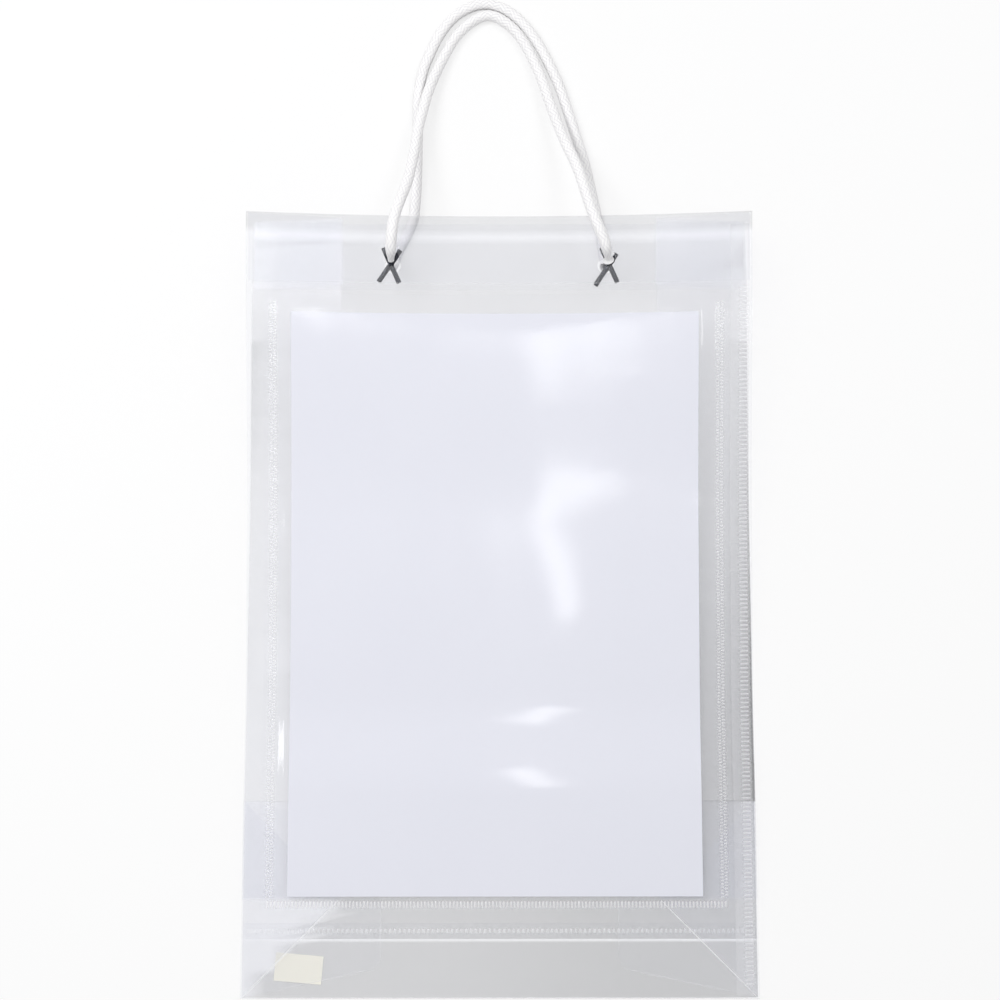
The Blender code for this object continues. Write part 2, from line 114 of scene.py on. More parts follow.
# Pocket
POCKET_LEFT = -0.1210
POCKET_RIGHT = 0.1180
POCKET_FOOT = 0.044
POCKET_TOP = 0.357
WELD_INSET = 0.0045
RIB_LENGTH = 0.0034
RIB_WIDTH = 0.0009
RIB_HEIGHT = 0.00022
RIB_PITCH = 0.0018
RIB_INSET = 0.0024
RIB_MARGIN = 0.003
DOT_LENGTH = 0.0015
DOT_WIDTH = 0.8 * RIB_WIDTH
DOT_PITCH = 0.0016
DOT_STAGGER = 0.001
DOT_MARGIN = 0.005
BEAD_SINK = 0.00004
BEAD_ROUNDING = 0.8
BEAD_EDGE_ANGLE = 40

# Painted highlights of folds and edges
UNDER_FRONT = -FILM - 0.0002
CREASE_HEIGHT = 0.00010
CREASE_STEP = 0.004
CREASE_TAPER = 0.6
CREASE_TAPER_POWER = 6
CORNER_WIDTH = 0.0007
FLAP_LINE_WIDTH = 0.0005
THIN_LINE_WIDTH = 0.0004
CORNER_GAP = 0.0012
INNER_GAP = 0.0005
BASE_GAP = 0.0010
FLAP_END_GAP = 0.003
FLAP_FOOT_GAP = 0.002
FLAP_FOOT_END = (0.012, 0.0030)
HEM_GAP = 0.002
ON_FRONT = 0.0002
DUST_FLAP = 0.070
DUST_FLAP_TAPER = math.radians(12.0)
HEM_FOOT = 0.363
BASE_EDGE = 0.029
BASE_EDGE_HALF = 0.080

# Side seam and base weld
SEAM_X = 0.1256
SEAM_PITCH = 0.0022
SEAM_RIB = 0.0042
SEAM_HEIGHT = 0.00012
SEAM_FOOT = 0.006
SEAM_TOP = 0.360
LAP_LEFT = 0.1190
LAP_RIGHT = 0.1286
LAP_FOOT = 0.0015
LAP_TOP = 0.392
LAP_DROP = 0.00030
LAP_FILM = 0.00006
LAP_CUTS = (8, 160)
BASE_WELD_Y = 0.033
BASE_WELD_HALF = 0.124
BASE_WELD_PITCH = 0.0024
BASE_WELD_LEVEL = 0.00091
BASE_WELD_BEAD = (0.0022, 0.0012, 0.00018)

# Label
LABEL_WIDTH = 0.024
LABEL_HEIGHT = 0.014
LABEL_THICKNESS = 0.00015
LABEL_CENTRE = (-0.1015, 0.0145)
LABEL_TURN = math.radians(-5.0)
LABEL_LEVEL = 0.00071
LABEL_CUTS = (24, 14)

# Cord handles
CORD_DIAMETER = 0.006
CORD_TIP = 0.55
CORD_TAPER = 0.009
CURVE_STEPS = 20
BRAID_STEP = 0.00036
BRAID_SIDES = 40
BRAID_STRANDS = 9
BRAID_PITCH = 0.0034
BRAID_RELIEF = 0.00022
CROWN_POWER = 0.7
CROWN_DIP = 0.25
TOGGLE_LENGTH = 0.020
TOGGLE_DIAMETER = 0.0026
TOGGLE_SIDES = 24
HOLLOW_WALL = 0.16 * TOGGLE_DIAMETER
HOLLOW_DEPTH = 0.3 * TOGGLE_DIAMETER
SOCKET_LENGTH = 0.0030
SOCKET_DIAMETER = 0.0030
FRONT_TOGGLE_TURN = math.radians(24.0)
BACK_TOGGLE_TURN = math.radians(-34.0)

# Routes of the handles over the mouth, in millimetres, as the bag's own source has them
FRONT_ROUTE = (
    (-56.0, 374.9, 26.8), (-56.0, 376.0, 28.3), (-55.9, 378.8, 31.9), (-55.7, 382.6, 34.4),
    (-55.2, 388.0, 35.5), (-54.5, 393.5, 35.0), (-53.4, 399.0, 33.7), (-51.4, 406.0, 31.2),
    (-47.6, 419.0, 25.0), (-45.2, 434.0, 18.0), (-43.0, 450.7, 12.6), (-40.6, 462.0, 9.8),
    (-38.0, 472.6, 7.5), (-34.0, 484.0, 5.3), (-28.9, 495.4, 3.9), (-22.0, 507.0, 3.2),
    (-12.3, 515.4, 3.1), (-3.5, 517.2, 3.1), (5.8, 511.6, 3.1), (12.3, 503.6, 3.2),
    (18.0, 493.0, 3.9), (22.4, 482.0, 5.4), (26.4, 469.0, 8.0), (30.2, 456.5, 11.2),
    (34.4, 444.0, 15.0), (40.7, 427.0, 22.6), (44.3, 413.2, 29.0), (47.4, 401.5, 33.2),
    (50.0, 393.8, 35.1), (52.6, 387.2, 35.4), (54.6, 382.0, 34.3), (55.5, 378.8, 32.1),
    (56.2, 376.0, 28.5), (56.6, 374.9, 26.9))
BACK_ROUTE = (
    (-56.8, 373.6, 18.0), (-56.5, 373.9, 15.0), (-56.1, 374.9, 12.2), (-56.0, 376.0, 10.0),
    (-55.4, 378.4, 6.9), (-54.2, 382.2, 4.4), (-52.2, 387.2, 3.3), (-48.6, 394.0, 3.1),
    (-45.6, 403.0, 3.1), (-44.2, 420.0, 3.1), (-43.8, 437.0, 3.1), (-43.6, 454.0, 3.1),
    (-43.4, 471.0, 3.1), (-41.2, 485.0, 3.1), (-37.3, 495.6, 3.1), (-32.0, 506.6, 3.1),
    (-24.6, 516.2, 3.1), (-15.2, 522.2, 3.1), (-5.6, 523.8, 3.1), (4.2, 520.4, 3.1),
    (13.4, 512.4, 3.1), (21.0, 501.6, 3.1), (27.0, 490.0, 3.1), (32.0, 478.6, 3.1),
    (35.8, 467.2, 3.1), (40.9, 450.5, 3.1), (45.8, 433.9, 3.1), (49.4, 417.3, 3.1),
    (52.2, 404.0, 3.1), (53.8, 394.0, 3.1), (54.8, 387.0, 3.4), (55.5, 382.2, 4.6),
    (55.9, 378.6, 6.9), (56.0, 376.0, 10.0), (56.0, 374.9, 11.5))

# How squarely a face must look along an axis to count as facing that way
FACING = 0.9

# Camera
CAMERA_PLACE = (0.00023, 0.111755, 1.0001)
CAMERA_TILT = math.radians(8.066)
CAMERA_ROLL = math.radians(-0.044)
CAMERA_LENS = 69.54
SENSOR_WIDTH = 36.0

# Light: softboxes above the bag, and the level of the room
KEY_PLACE = (-0.62, 0.58, 1.15)
KEY_SIZE = (0.60, 0.60)
KEY_POWER = 8.4
SIDE_PLACE = (0.55, 0.75, 1.15)
SIDE_SIZE = (0.50, 0.50)
SIDE_POWER = 3.4
STRIP_PLACE = (0.035, 0.210, 1.20)
STRIP_SIZE = (0.120, 0.040)
STRIP_POWER = 0.085
ROOM_LEVEL = 0.48
FLOOR_GLOW = 0.70
FLOOR_SIZE = 12
FLOOR_DROP = 0.0001


def place(x, y, z):
    """A point of the bag in the frame's own coordinates."""
    return Vector((x, y + BASE_Y, z))


def smooth(value):
    value = min(1.0, max(0.0, value))
    return value * value * (3.0 - 2.0 * value)


def back_height(y):
    if y <= GUSSET_DEPTH:
        return BACK_LEVEL
    settled = BACK_LEVEL + (FLOOR_LEVEL - BACK_LEVEL) * smooth((y - GUSSET_DEPTH) / SETTLE_LENGTH)
    return settled + (MOUTH_LIFT - FLOOR_LEVEL) * smooth((y - LIFT_START) / (HOLE_Y - LIFT_START))


def front_height(x, y):
    opening = max(0.0, (y - GUSSET_DEPTH) / (BAG_HEIGHT - GUSSET_DEPTH)) ** GAP_POWER
    gape = MOUTH_GAP_MIDDLE + (MOUTH_GAP_SIDES - MOUTH_GAP_MIDDLE) * (x / HALF_WIDTH) ** 2
    return back_height(y) + FLAT_GAP + opening * gape


def wave(x, y):
    """Slow rise and fall of the front film, still at the base and at the handle holes."""
    fade = smooth((y - WAVE_START) / WAVE_FADE) * smooth((BAG_HEIGHT - y) / WAVE_FADE)
    slow = noise.noise(Vector((x / WAVE_ACROSS, y / WAVE_ALONG, WAVE_SLICE)))
    fine = noise.noise(Vector((x / WAVE_ACROSS * FINE_ACROSS, y / WAVE_ALONG * FINE_ALONG, FINE_SLICE)))
    return WAVE_HEIGHT * fade * (slow + FINE_SHARE * fine)


def waved(point):
    """A point moved with the film, by its share of the way from the back panel to the front."""
    x, y = point.x, point.y - BASE_Y
    low, high = back_height(y), front_height(x, y)
    share = min(1.0, max(0.0, (point.z - low) / (high - low)))
    return Vector((point.x, point.y, point.z + wave(x, y) * share))


def start_clean():
    if bpy.context.object is not None and bpy.context.object.mode != "OBJECT":
        bpy.ops.object.mode_set(mode="OBJECT")
    bpy.ops.object.select_all(action="DESELECT")


def make_active(obj):
    start_clean()
    obj.select_set(True)
    bpy.context.view_layer.objects.active = obj


def settle(obj, angle=30.0):
    """Put the object's place into its mesh and shade it smooth between its edges."""
    make_active(obj)
    bpy.ops.object.transform_apply(location=True, rotation=True, scale=True)
    bpy.ops.object.shade_smooth_by_angle(angle=math.radians(angle))
    return obj


def select_faces(obj, wanted):
    """In edit mode, select the faces that pass the test and no others."""
    bpy.ops.mesh.select_all(action="DESELECT")
    bm = bmesh.from_edit_mesh(obj.data)
    for face in bm.faces:
        face.select = wanted(face)
    bmesh.update_edit_mesh(obj.data)


def round_edges(obj, width):
    bevel = obj.modifiers.new("rounded", "BEVEL")
    bevel.width = width
    bevel.segments = 2
    bpy.ops.object.modifier_apply(modifier="rounded")


def thicken(obj, thickness):
    """Give a sheet its thickness, half of it to each side."""
    solid = obj.modifiers.new("thickness", "SOLIDIFY")
    solid.thickness = thickness
    solid.offset = 0
    bpy.ops.object.modifier_apply(modifier="thickness")


def new_object(name, mesh):
    data = bpy.data.meshes.new(name)
    mesh.to_mesh(data)
    mesh.free()
    obj = bpy.data.objects.new(name, data)
    bpy.context.scene.collection.objects.link(obj)
    return obj


def own(obj, skin, slot_name, *nodes):
    """Give the piece its material, hang it under the root body and hide the nodes that it stands for;
    slot_name is not used.
    """
    obj.data.materials.clear()
    obj.data.materials.append(skin)
    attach(obj, "root")
    if nodes:
        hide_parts(*nodes)
    return obj


# Camera

def aim_camera():
    data = bpy.data.cameras.new("view")
    data.lens = CAMERA_LENS
    data.sensor_width = SENSOR_WIDTH
    data.clip_start = 0.01
    camera = bpy.data.objects.new("view", data)
    bpy.context.scene.collection.objects.link(camera)
    camera.location = place(*CAMERA_PLACE)
    camera.rotation_euler = (CAMERA_TILT, 0.0, CAMERA_ROLL)
    bpy.context.scene.camera = camera


# Cords

def curve_through(route):
    """A dense smooth curve through the route's points, with the length reached at each of its points."""
    nodes = [place(*(Vector(point) / 1000)) for point in route]
    padded = [2 * nodes[0] - nodes[1]] + nodes + [2 * nodes[-1] - nodes[-2]]
    dense = []
    for a, b, c, d in zip(padded, padded[1:], padded[2:], padded[3:]):
        for i in range(CURVE_STEPS):
            t = i / CURVE_STEPS
            bend = (2 * a - 5 * b + 4 * c - d) * t * t + (3 * b - a - 3 * c + d) * t ** 3
            dense.append((2 * b + (c - a) * t + bend) / 2)
    dense.append(nodes[-1])
    reach = [0.0]
    for a, b in zip(dense, dense[1:]):
        reach.append(reach[-1] + (b - a).length)
    return dense, reach


def even_points(route, step):
    """Points evenly spaced along the route, and the route's length."""
    dense, reach = curve_through(route)
    total = reach[-1]
    count = round(total / step)
    points = []
    k = 0
    for i in range(count + 1):
        along = total * i / count
        while k < len(reach) - 2 and reach[k + 1] < along:
            k += 1
        share = (along - reach[k]) / (reach[k + 1] - reach[k])
        points.append(dense[k].lerp(dense[k + 1], share))
    return points, total


def braid_height(along, around):
    """Relief of a two-over-two braid, from 0 in the grooves to 1 on a strand's crown."""
    a = around * BRAID_STRANDS + along / BRAID_PITCH
    b = around * BRAID_STRANDS - along / BRAID_PITCH
    over = (math.floor(a) - math.floor(b)) % 4 < 2
    across = a % 1.0 if over else b % 1.0
    run = b % 1.0 if over else a % 1.0
    crown = math.sin(math.pi * across) ** CROWN_POWER
    return crown * (1 - CROWN_DIP + CROWN_DIP * math.sin(math.pi * run))


def braided_cord(name, route):
    """A tube along the route with the braid's relief, thinner at both ends where it is crimped."""
    points, total = even_points(route, BRAID_STEP)
    curve = bpy.data.curves.new(name, "CURVE")
    curve.dimensions = "3D"
    curve.bevel_depth = CORD_DIAMETER / 2
    curve.bevel_resolution = (BRAID_SIDES - 4) // 2
    curve.use_fill_caps = True
    spline = curve.splines.new("POLY")
    spline.points.add(len(points) - 1)
    for target, point in zip(spline.points, points):
        target.co = (*point, 1)
    obj = bpy.data.objects.new(name, curve)
    bpy.context.scene.collection.objects.link(obj)
    make_active(obj)
    bpy.ops.object.convert(target="MESH")
    obj = bpy.context.object
    relief = []
    rings = len(points)
    for i, point in enumerate(points):
        along = total * i / (rings - 1)
        scale = CORD_TIP + (1 - CORD_TIP) * smooth(min(along, total - along) / CORD_TAPER)
        for j in range(BRAID_SIDES):
            vert = obj.data.vertices[i * BRAID_SIDES + j]
            height = braid_height(along, j / BRAID_SIDES)
            relief.append(height)
            outward = vert.co - point
            radius = CORD_DIAMETER / 2 - BRAID_RELIEF * (1 - height)
            vert.co = point + outward.normalized() * radius * scale
    relief += [0.5] * (len(obj.data.vertices) - len(relief))
    # The braid's heights, kept for the material, which paints shade into the grooves.
    heights = obj.data.attributes.new("braid", "FLOAT", "POINT")
    heights.data.foreach_set("value", relief)
    bpy.ops.object.mode_set(mode="EDIT")
    bpy.ops.mesh.select_all(action="SELECT")
    bpy.ops.mesh.remove_doubles(threshold=0.00001)
    bpy.ops.object.mode_set(mode="OBJECT")
    bpy.ops.object.shade_smooth()
    return obj, points, total


def toggle(name, route, turn, height):
    """A moulded bar with hollow ends, and the collar that holds the cord."""
    end = place(*(Vector(route[0]) / 1000))
    direction = (end - place(*(Vector(route[1]) / 1000))).normalized()
    start = end + direction * SEAT_GAP
    centre = start + direction * SOCKET_LENGTH
    run = Vector((math.sin(turn), -math.cos(turn), 0)) * TOGGLE_LENGTH / 2
    y = centre.y - BASE_Y
    rise = height(centre.x + run.x, y + run.y) - height(centre.x - run.x, y - run.y)
    axis = Vector((run.x, run.y, rise / 2))
    start_clean()
    bpy.ops.mesh.primitive_cylinder_add(vertices=TOGGLE_SIDES, radius=TOGGLE_DIAMETER / 2,
                                        depth=TOGGLE_LENGTH, location=centre)
    bar = bpy.context.object
    bar.name = name
    bar.rotation_euler = axis.to_track_quat("Z", "Y").to_euler()
    bpy.ops.object.mode_set(mode="EDIT")
    select_faces(bar, lambda face: abs(face.normal.z) > FACING)
    bpy.ops.mesh.inset(thickness=HOLLOW_WALL, use_individual=True)
    bpy.ops.mesh.extrude_region_move()
    bm = bmesh.from_edit_mesh(bar.data)
    for face in bm.faces:
        if face.select:
            inward = -math.copysign(HOLLOW_DEPTH, face.normal.z)
            for vert in face.verts:
                vert.co.z += inward
    bmesh.update_edit_mesh(bar.data)
    bpy.ops.object.mode_set(mode="OBJECT")
    round_edges(bar, TOGGLE_DIAMETER / 14)
    start_clean()
    bpy.ops.mesh.primitive_cylinder_add(vertices=TOGGLE_SIDES, radius=SOCKET_DIAMETER / 2,
                                        depth=SOCKET_LENGTH, location=(start + centre) / 2)
    collar = bpy.context.object
    collar.rotation_euler = direction.to_track_quat("Z", "Y").to_euler()
    round_edges(collar, SOCKET_DIAMETER / 12)
    join = bar.modifiers.new("collar", "BOOLEAN")
    join.operation = "UNION"
    join.object = collar
    make_active(bar)
    bpy.ops.object.modifier_apply(modifier="collar")
    bpy.data.objects.remove(collar)
    return settle(bar)


def handle(side_name, route, turn, right_height):
    """A cord and its two toggles; the left one tilts with the front film, the right one as told."""
    cord, points, total = braided_cord(side_name + "_handle_braid", route)
    own(cord, cord_skin, "white_cord", side_name + "_handle_cord")
    for name, ends, height in (("left", route, front_height), ("right", route[::-1], right_height)):
        bar = toggle(f"{side_name}_{name}_bar", ends, turn, height)
        own(bar, toggle_skin, "grey_toggle", f"{side_name}_{name}_toggle")


# Film and paper

def lowest_film(point):
    """Whether the point is on the film that lies under all the rest of the bag."""
    y = point.y - BASE_Y
    if y > BAG_HEIGHT - TOP_STRIP:
        return point.z > front_height(point.x, y) - FILM
    if y > GUSSET_DEPTH:
        edge = abs(point.x) > HALF_WIDTH - EDGE_STRIP
        return point.z < back_height(y) + (2 * LAYER_PITCH if edge else FILM)
    if point.z > FRONT_FLAP_TOP:
        return point.z < BACK_FLAP_TOP
    return y < BACK_FLAP_START


def painted_ground_shade(point):
    """Painted shade on the lowest film: lighter at the upper left, greyer to the lower right."""
    u = point.x / HALF_WIDTH
    y = point.y - BASE_Y
    v = y / BAG_HEIGHT
    left = smooth((-u - LEFT_START) / LEFT_BLEND)
    if y < GUSSET_HALF:
        left = smooth((y - HALF_WIDTH - point.x) / FOLD_BLUR + 0.5)
    right = smooth((u - RIGHT_START) / RIGHT_BLEND)
    foot = PAINTED_SHADE_FOOT + (PAINTED_SHADE_MIDDLE - PAINTED_SHADE_FOOT) * smooth(MIDDLE_START - u)
    foot += (PAINTED_SHADE_LEFT - foot) * left
    painted_shade = foot + (PAINTED_SHADE_TOP - foot) * smooth((v - TOP_START) / TOP_BLEND)
    # Less the paper's painted shadow, to the right of it.
    return painted_shade - PAPER_SHADOW_DEPTH * right * smooth(v / SHADE_RISE) * smooth((SHADE_END - v) / SHADE_FALL)


def paint_ground_shade(obj):
    """Store the painted shade of the lowest film, before the waves move it."""
    painted_shades = obj.data.attributes.new("painted_shade", "FLOAT", "POINT")
    values = [painted_ground_shade(vert.co) if lowest_film(vert.co) else 1.0 for vert in obj.data.vertices]
    painted_shades.data.foreach_set("value", values)


def follow_curve(obj, source):
    """Lift the points of a finer mesh from the source's flat facets to the front film's curve."""
    corners = [(vert.co.x, vert.co.y, front_height(vert.co.x, vert.co.y - BASE_Y))
               for vert in source.data.vertices]
    facets = BVHTree.FromPolygons(corners, [tuple(face.vertices) for face in source.data.polygons])
    for vert in obj.data.vertices:
        spot, _, _, _ = facets.ray_cast(Vector((vert.co.x, vert.co.y, 1.0)), Vector((0, 0, -1)))
        if spot is not None:
            vert.co.z += front_height(vert.co.x, vert.co.y - BASE_Y) - spot.z


def in_base_flaps(face):
    middle = face.calc_center_median()
    return middle.z < BACK_FLAP_TOP and middle.y - BASE_Y < GUSSET_DEPTH


def film_copy(node, name, cuts, on_front=False):
    """A finer copy of a thin solid, which follows the film's waves. The bag's own copy holds the painted
    shade.
    """
    source = bpy.data.objects[node]
    obj = bpy.data.objects.new(name, source.data.copy())
    bpy.context.scene.collection.objects.link(obj)
    make_active(obj)
    bpy.ops.mesh.customdata_custom_splitnormals_clear()
    bpy.ops.object.mode_set(mode="EDIT")
    bpy.ops.mesh.select_all(action="SELECT")
    bpy.ops.mesh.remove_doubles(threshold=0.000001)
    bpy.ops.mesh.tris_convert_to_quads(face_threshold=math.radians(2), shape_threshold=math.radians(180))
    bpy.ops.mesh.subdivide(number_cuts=cuts)
    bpy.ops.mesh.select_all(action="SELECT")
    bpy.ops.mesh.bisect(plane_co=place(0, GUSSET_DEPTH - FOLD_ROW, 0), plane_no=(0, 1, 0))
    select_faces(obj, in_base_flaps)
    bpy.ops.mesh.subdivide(number_cuts=FLAP_CUTS)
    bpy.ops.object.mode_set(mode="OBJECT")
    if on_front:
        follow_curve(obj, source)
    else:
        paint_ground_shade(obj)
    for vert in obj.data.vertices:
        vert.co = waved(vert.co)
    bpy.ops.object.shade_smooth_by_angle(angle=math.radians(25))
    return obj


def bead(length, width, height):
    """One raised weld mark: a low pillow, rounded at its edges."""
    start_clean()
    bpy.ops.mesh.primitive_cube_add(size=1, location=(0, 0, height / 2))
    obj = bpy.context.object
    obj.scale = (length, width, height)
    bpy.ops.object.transform_apply(location=True, rotation=True, scale=True)
    bpy.ops.object.mode_set(mode="EDIT")
    select_faces(obj, lambda face: face.normal.z > FACING)
    bpy.ops.mesh.bevel(offset=min(width, height) * BEAD_ROUNDING, segments=3)
    bpy.ops.object.mode_set(mode="OBJECT")
    return obj


def row_of_beads(name, pattern, places):
    """Copies of one bead, each turned, placed and joined into a single piece."""
    joined = bmesh.new()
    for point, turn in places:
        first = len(joined.verts)
        joined.from_mesh(pattern.data)
        joined.verts.ensure_lookup_table()
        move = Matrix.Translation(point) @ Matrix.Rotation(turn, 4, "Z")
        for vert in joined.verts[first:]:
            vert.co = move @ vert.co
    bpy.data.objects.remove(pattern)
    return settle(new_object(name, joined), BEAD_EDGE_ANGLE)


def spread(start, end, pitch):
    """The middles of equal steps from start to end, about one pitch long."""
    count = round((end - start) / pitch)
    return [start + (end - start) * (i + 0.5) / count for i in range(count)]


def on_film(film, x, y, above):
    """A point above the top of a film."""
    spot = place(x, y, 1.0)
    return film.ray_cast(spot, (0, 0, -1))[1] + Vector((0, 0, above))


def pocket_welds(film):
    """The ribs along the pocket's foot and the staggered dots up its sides."""
    low = POCKET_FOOT + RIB_INSET
    ribs = [(on_film(film, x, low, -BEAD_SINK), math.pi / 2)
            for x in spread(POCKET_LEFT + RIB_MARGIN, POCKET_RIGHT - RIB_MARGIN, RIB_PITCH)]
    foot = row_of_beads("pocket_foot_weld", bead(RIB_LENGTH, RIB_WIDTH, RIB_HEIGHT), ribs)
    own(foot, weld_skin, "clear_film")
    dots = []
    for x in (POCKET_LEFT + WELD_INSET, POCKET_RIGHT - WELD_INSET):
        for y in spread(low + RIB_MARGIN, POCKET_TOP - DOT_MARGIN, DOT_PITCH):
            dots += [(on_film(film, x - DOT_STAGGER, y, -BEAD_SINK), 0.0),
                     (on_film(film, x + DOT_STAGGER, y + DOT_PITCH / 2, -BEAD_SINK), 0.0)]
    sides = row_of_beads("pocket_side_welds", bead(DOT_LENGTH, DOT_WIDTH, RIB_HEIGHT), dots)
    own(sides, weld_skin, "clear_film")


def side_seam(film):
    """The weld marks of the lap inside the front panel's right edge."""
    marks = [(on_film(film, SEAM_X, y, UNDER_FRONT), 0.0)
             for y in spread(SEAM_FOOT, SEAM_TOP, SEAM_PITCH)]
    seam = row_of_beads("side_seam_weld", bead(SEAM_RIB, RIB_WIDTH, SEAM_HEIGHT), marks)
    own(seam, weld_skin, "milky_film")


def crease(film, name, start, end, above, width, skin):
    """A fold's painted highlight: a low, light bar from start to end, tapered to its ends."""
    start, end = Vector(start), Vector(end)
    run = end - start
    start_clean()
    steps = max(8, round(run.length / CREASE_STEP))
    bpy.ops.mesh.primitive_grid_add(x_subdivisions=steps, y_subdivisions=4, size=1)
    obj = bpy.context.object
    obj.name = name
    turn = Matrix.Rotation(math.atan2(run.y, run.x), 3, "Z")
    for vert in obj.data.vertices:
        taper = 1 - CREASE_TAPER * (2 * vert.co.x) ** CREASE_TAPER_POWER
        spot = turn @ Vector((vert.co.x * run.length, vert.co.y * width * taper, 0))
        spot += Vector(((start.x + end.x) / 2, (start.y + end.y) / 2, 0))
        vert.co = on_film(film, spot.x, spot.y, above)
    thicken(obj, CREASE_HEIGHT)
    settle(obj)
    own(obj, skin, "milky_film")


def creases(film):
    """Painted highlights of the folds and film edges that show through the front panel."""
    inner = HALF_WIDTH - GUSSET_HALF
    flap_end = HALF_WIDTH - DUST_FLAP
    taper = DUST_FLAP * math.tan(DUST_FLAP_TAPER)
    foot_in, foot_up = FLAP_FOOT_END
    lines = (
        ("corner", (HALF_WIDTH - CORNER_GAP, CORNER_GAP), (inner + INNER_GAP, GUSSET_HALF - INNER_GAP),
         CORNER_WIDTH, fold_highlight_skin),
        ("base", (HALF_WIDTH - BASE_GAP, GUSSET_HALF), (inner, GUSSET_HALF),
         FLAP_LINE_WIDTH, lap_and_edge_highlight_skin),
        ("flap_end", (flap_end, GUSSET_HALF - FLAP_END_GAP), (flap_end, taper + FLAP_END_GAP),
         FLAP_LINE_WIDTH, lap_and_edge_highlight_skin),
        ("flap_foot", (flap_end + FLAP_FOOT_GAP, taper), (HALF_WIDTH - foot_in, foot_up),
         FLAP_LINE_WIDTH, lap_and_edge_highlight_skin))
    for side, word in ((-1, "left"), (1, "right")):
        for label, start, end, width, skin in lines:
            crease(film, f"{word}_{label}_crease", (side * start[0], start[1]),
                   (side * end[0], end[1]), UNDER_FRONT, width, skin)
    hem_side = HALF_WIDTH - HEM_GAP
    crease(film, "hem_crease", (-hem_side, HEM_FOOT), (hem_side, HEM_FOOT),
           ON_FRONT, THIN_LINE_WIDTH, lap_and_edge_highlight_skin)
    crease(film, "base_edge_crease", (-BASE_EDGE_HALF, BASE_EDGE), (BASE_EDGE_HALF, BASE_EDGE),
           UNDER_FRONT, THIN_LINE_WIDTH, lap_and_edge_highlight_skin)


def lap(film):
    """The strip of the front panel's edge that is folded under it and welded."""
    start_clean()
    across, along = LAP_CUTS
    bpy.ops.mesh.primitive_grid_add(x_subdivisions=across, y_subdivisions=along, size=1)
    obj = bpy.context.object
    obj.name = "side_seam_lap"
    for vert in obj.data.vertices:
        x = LAP_LEFT + (LAP_RIGHT - LAP_LEFT) * (vert.co.x + 0.5)
        y = LAP_FOOT + (LAP_TOP - LAP_FOOT) * (vert.co.y + 0.5)
        vert.co = on_film(film, x, y, -FILM - LAP_DROP)
    thicken(obj, LAP_FILM)
    settle(obj)
    own(obj, lap_and_edge_highlight_skin, "milky_film")


def base_weld():
    """The marks of the weld that joins the two base flaps."""
    marks = [(place(x, BASE_WELD_Y, BASE_WELD_LEVEL), math.pi / 2)
             for x in spread(-BASE_WELD_HALF, BASE_WELD_HALF, BASE_WELD_PITCH)]
    seam = row_of_beads("base_weld", bead(*BASE_WELD_BEAD), marks)
    own(seam, weld_skin, "milky_film")


def base_label():
    """The blank label, a thin paper plate."""
    start_clean()
    across, along = LABEL_CUTS
    bpy.ops.mesh.primitive_grid_add(x_subdivisions=across, y_subdivisions=along, size=1,
                                    location=place(*LABEL_CENTRE, LABEL_LEVEL))
    obj = bpy.context.object
    obj.name = "blank_label"
    obj.scale = (LABEL_WIDTH, LABEL_HEIGHT, 1)
    obj.rotation_euler.z = LABEL_TURN
    bpy.ops.object.transform_apply(location=True, rotation=True, scale=True)
    thicken(obj, LABEL_THICKNESS)
    settle(obj)
    own(obj, label_skin, "cream_label", "base_label")


# Materials

def new_skin(name):
    skin = bpy.data.materials.new(name)
    skin.use_nodes = True
    nodes = skin.node_tree.nodes
    return skin, nodes, skin.node_tree.links, nodes["Principled BSDF"]


def soft_mottle():
    """Group: slow cloudiness that shifts one colour towards another, and a fine relief."""
    group = bpy.data.node_groups.new("soft_mottle", "ShaderNodeTree")
    for name, way, kind in (("Size", "INPUT", "Float"), ("Low", "INPUT", "Color"),
                            ("High", "INPUT", "Color"), ("Grain Size", "INPUT", "Float"),
                            ("Colour", "OUTPUT", "Color"), ("Height", "OUTPUT", "Float")):
        group.interface.new_socket(name, in_out=way, socket_type="NodeSocket" + kind)
    nodes, links = group.nodes, group.links
    given = nodes.new("NodeGroupInput")
    out = nodes.new("NodeGroupOutput")
    where = nodes.new("ShaderNodeTexCoord")
    cloud = nodes.new("ShaderNodeTexNoise")
    cloud.inputs["Detail"].default_value = 3.0
    grain = nodes.new("ShaderNodeTexNoise")
    grain.inputs["Detail"].default_value = 4.0
    blend = nodes.new("ShaderNodeMix")
    blend.data_type = "RGBA"
    links.new(where.outputs["Object"], cloud.inputs["Vector"])
    links.new(where.outputs["Object"], grain.inputs["Vector"])
    links.new(given.outputs["Size"], cloud.inputs["Scale"])
    links.new(given.outputs["Grain Size"], grain.inputs["Scale"])
    links.new(cloud.outputs["Fac"], blend.inputs["Factor"])
    links.new(given.outputs["Low"], blend.inputs["A"])
    links.new(given.outputs["High"], blend.inputs["B"])
    links.new(blend.outputs["Result"], out.inputs["Colour"])
    links.new(grain.outputs["Fac"], out.inputs["Height"])
    return group


def grained(nodes, links, shader, grain_size, depth):
    """The shared group in a material, its grain as the surface's fine relief."""
    group = nodes.new("ShaderNodeGroup")
    group.node_tree = mottle_group
    group.inputs["Grain Size"].default_value = grain_size
    bump = nodes.new("ShaderNodeBump")
    bump.inputs["Distance"].default_value = depth
    links.new(group.outputs["Height"], bump.inputs["Height"])
    links.new(bump.outputs["Normal"], shader.inputs["Normal"])
    return group


def mottled(nodes, links, shader, size, low, high, grain_size, depth):
    """The same, with its cloudiness as the surface's colour."""
    group = grained(nodes, links, shader, grain_size, depth)
    group.inputs["Size"].default_value = size
    group.inputs["Low"].default_value = (*low, 1)
    group.inputs["High"].default_value = (*high, 1)
    links.new(group.outputs["Colour"], shader.inputs["Base Color"])


